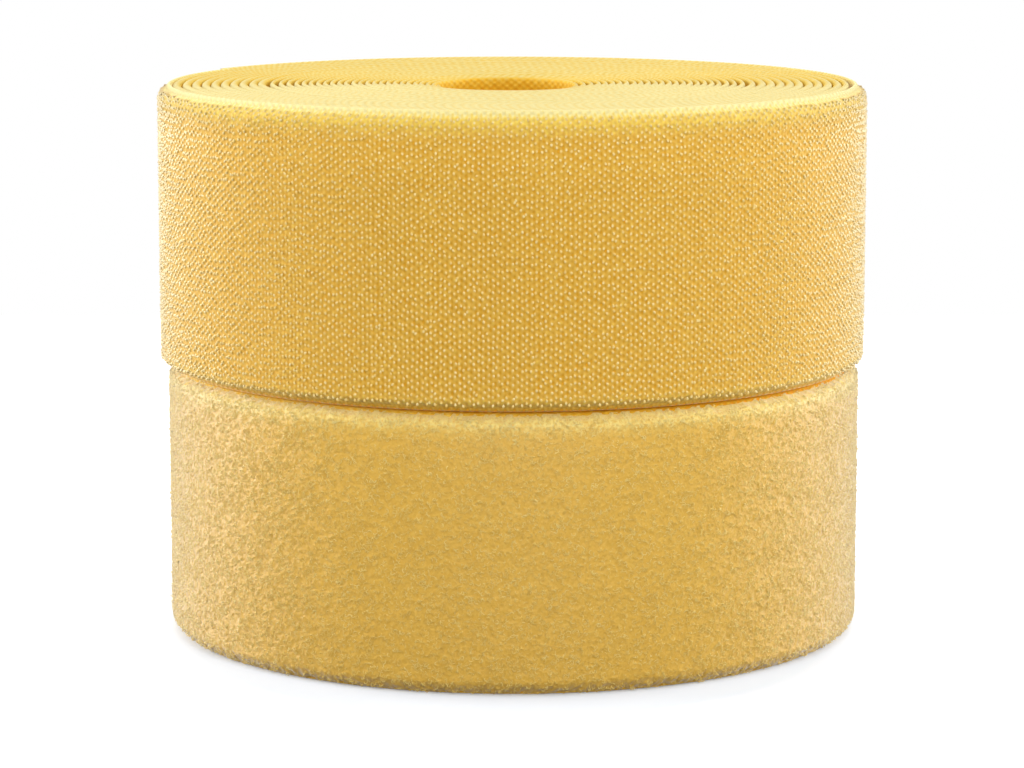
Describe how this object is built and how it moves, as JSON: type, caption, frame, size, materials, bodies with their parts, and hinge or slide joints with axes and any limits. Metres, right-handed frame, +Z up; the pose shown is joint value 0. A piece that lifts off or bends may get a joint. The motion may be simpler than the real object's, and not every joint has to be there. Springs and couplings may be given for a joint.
{
  "type": "hook and loop tape roll",
  "caption": "Stacked pair of coreless rolls of wide woven fastening tape, hook tape above loop tape, each wound edge-flush round an open bore with a free outer end that peels off.",
  "frame": {"origin": "on the winding axis, in the plane that the loop roll stands on", "axes": "+Z up along the winding axis, -Y towards the viewer of the picture, free ends at the back (+Y)"},
  "size_m": [0.1289, 0.1297, 0.0999],
  "materials": {
    "loop_ground": "matte",
    "loop_pile": "matte",
    "hook_ground": "matte",
    "hook_pile": "satin"
  },
  "bodies": {
    "loop_roll": {"loop_core": "loop_ground", "loop_winding": "loop_ground", "loop_pile": "loop_pile"},
    "loop_tail_1": {"loop_tail_1": "loop_ground", "loop_tail_pile_1": "loop_pile"},
    "loop_tail_2": {"loop_tail_2": "loop_ground", "loop_tail_pile_2": "loop_pile"},
    "loop_tail_3": {"loop_tail_3": "loop_ground", "loop_tail_pile_3": "loop_pile"},
    "loop_tail_4": {"loop_tail_4": "loop_ground", "loop_tail_pile_4": "loop_pile"},
    "loop_tail_5": {"loop_tail_5": "loop_ground", "loop_tail_pile_5": "loop_pile"},
    "hook_roll": {"hook_core": "hook_ground", "hook_winding": "hook_ground", "hook_pile": "hook_pile"},
    "hook_tail_1": {"hook_tail_1": "hook_ground", "hook_tail_pile_1": "hook_pile"},
    "hook_tail_2": {"hook_tail_2": "hook_ground", "hook_tail_pile_2": "hook_pile"},
    "hook_tail_3": {"hook_tail_3": "hook_ground", "hook_tail_pile_3": "hook_pile"},
    "hook_tail_4": {"hook_tail_4": "hook_ground", "hook_tail_pile_4": "hook_pile"},
    "hook_tail_5": {"hook_tail_5": "hook_ground", "hook_tail_pile_5": "hook_pile"}
  },
  "joints": [
    {"name": "loop_tail_peel", "type": "hinge", "parent": "loop_roll", "child": "loop_tail_1", "pos_m": [0.05322, 0.03073, 0.0244], "axis": [0, 0, -1], "range_deg": [0, 30]},
    {"name": "loop_tail_bend_2", "type": "hinge", "parent": "loop_tail_1", "child": "loop_tail_2", "pos_m": [0.03618, 0.0498, 0.0244], "axis": [0, 0, -1], "range_deg": [0, 30]},
    {"name": "loop_tail_bend_3", "type": "hinge", "parent": "loop_tail_2", "child": "loop_tail_3", "pos_m": [0.01282, 0.06032, 0.0244], "axis": [0, 0, -1], "range_deg": [0, 30]},
    {"name": "loop_tail_bend_4", "type": "hinge", "parent": "loop_tail_3", "child": "loop_tail_4", "pos_m": [-0.01284, 0.06042, 0.0244], "axis": [0, 0, -1], "range_deg": [0, 30]},
    {"name": "loop_tail_bend_5", "type": "hinge", "parent": "loop_tail_4", "child": "loop_tail_5", "pos_m": [-0.03637, 0.05006, 0.0244], "axis": [0, 0, -1], "range_deg": [0, 30]},
    {"name": "hook_roll_lift", "type": "slide", "parent": "loop_roll", "child": "hook_roll", "axis": [0, 0, 1], "range_m": [0, 0.06]},
    {"name": "hook_tail_peel", "type": "hinge", "parent": "hook_roll", "child": "hook_tail_1", "pos_m": [0.05449, 0.03146, 0.0745], "axis": [0, 0, -1], "range_deg": [0, 30]},
    {"name": "hook_tail_bend_2", "type": "hinge", "parent": "hook_tail_1", "child": "hook_tail_2", "pos_m": [0.03705, 0.051, 0.0745], "axis": [0, 0, -1], "range_deg": [0, 30]},
    {"name": "hook_tail_bend_3", "type": "hinge", "parent": "hook_tail_2", "child": "hook_tail_3", "pos_m": [0.01313, 0.06177, 0.0745], "axis": [0, 0, -1], "range_deg": [0, 30]},
    {"name": "hook_tail_bend_4", "type": "hinge", "parent": "hook_tail_3", "child": "hook_tail_4", "pos_m": [-0.01316, 0.06189, 0.0745], "axis": [0, 0, -1], "range_deg": [0, 30]},
    {"name": "hook_tail_bend_5", "type": "hinge", "parent": "hook_tail_4", "child": "hook_tail_5", "pos_m": [-0.03726, 0.05128, 0.0745], "axis": [0, 0, -1], "range_deg": [0, 30]}
  ],
  "couplings": [
    {"joint": "loop_tail_bend_2", "follows": "loop_tail_peel", "ratio": 1},
    {"joint": "loop_tail_bend_3", "follows": "loop_tail_peel", "ratio": 1},
    {"joint": "loop_tail_bend_4", "follows": "loop_tail_peel", "ratio": 1},
    {"joint": "loop_tail_bend_5", "follows": "loop_tail_peel", "ratio": 1},
    {"joint": "hook_tail_bend_2", "follows": "hook_tail_peel", "ratio": 1},
    {"joint": "hook_tail_bend_3", "follows": "hook_tail_peel", "ratio": 1},
    {"joint": "hook_tail_bend_4", "follows": "hook_tail_peel", "ratio": 1},
    {"joint": "hook_tail_bend_5", "follows": "hook_tail_peel", "ratio": 1}
  ]
}
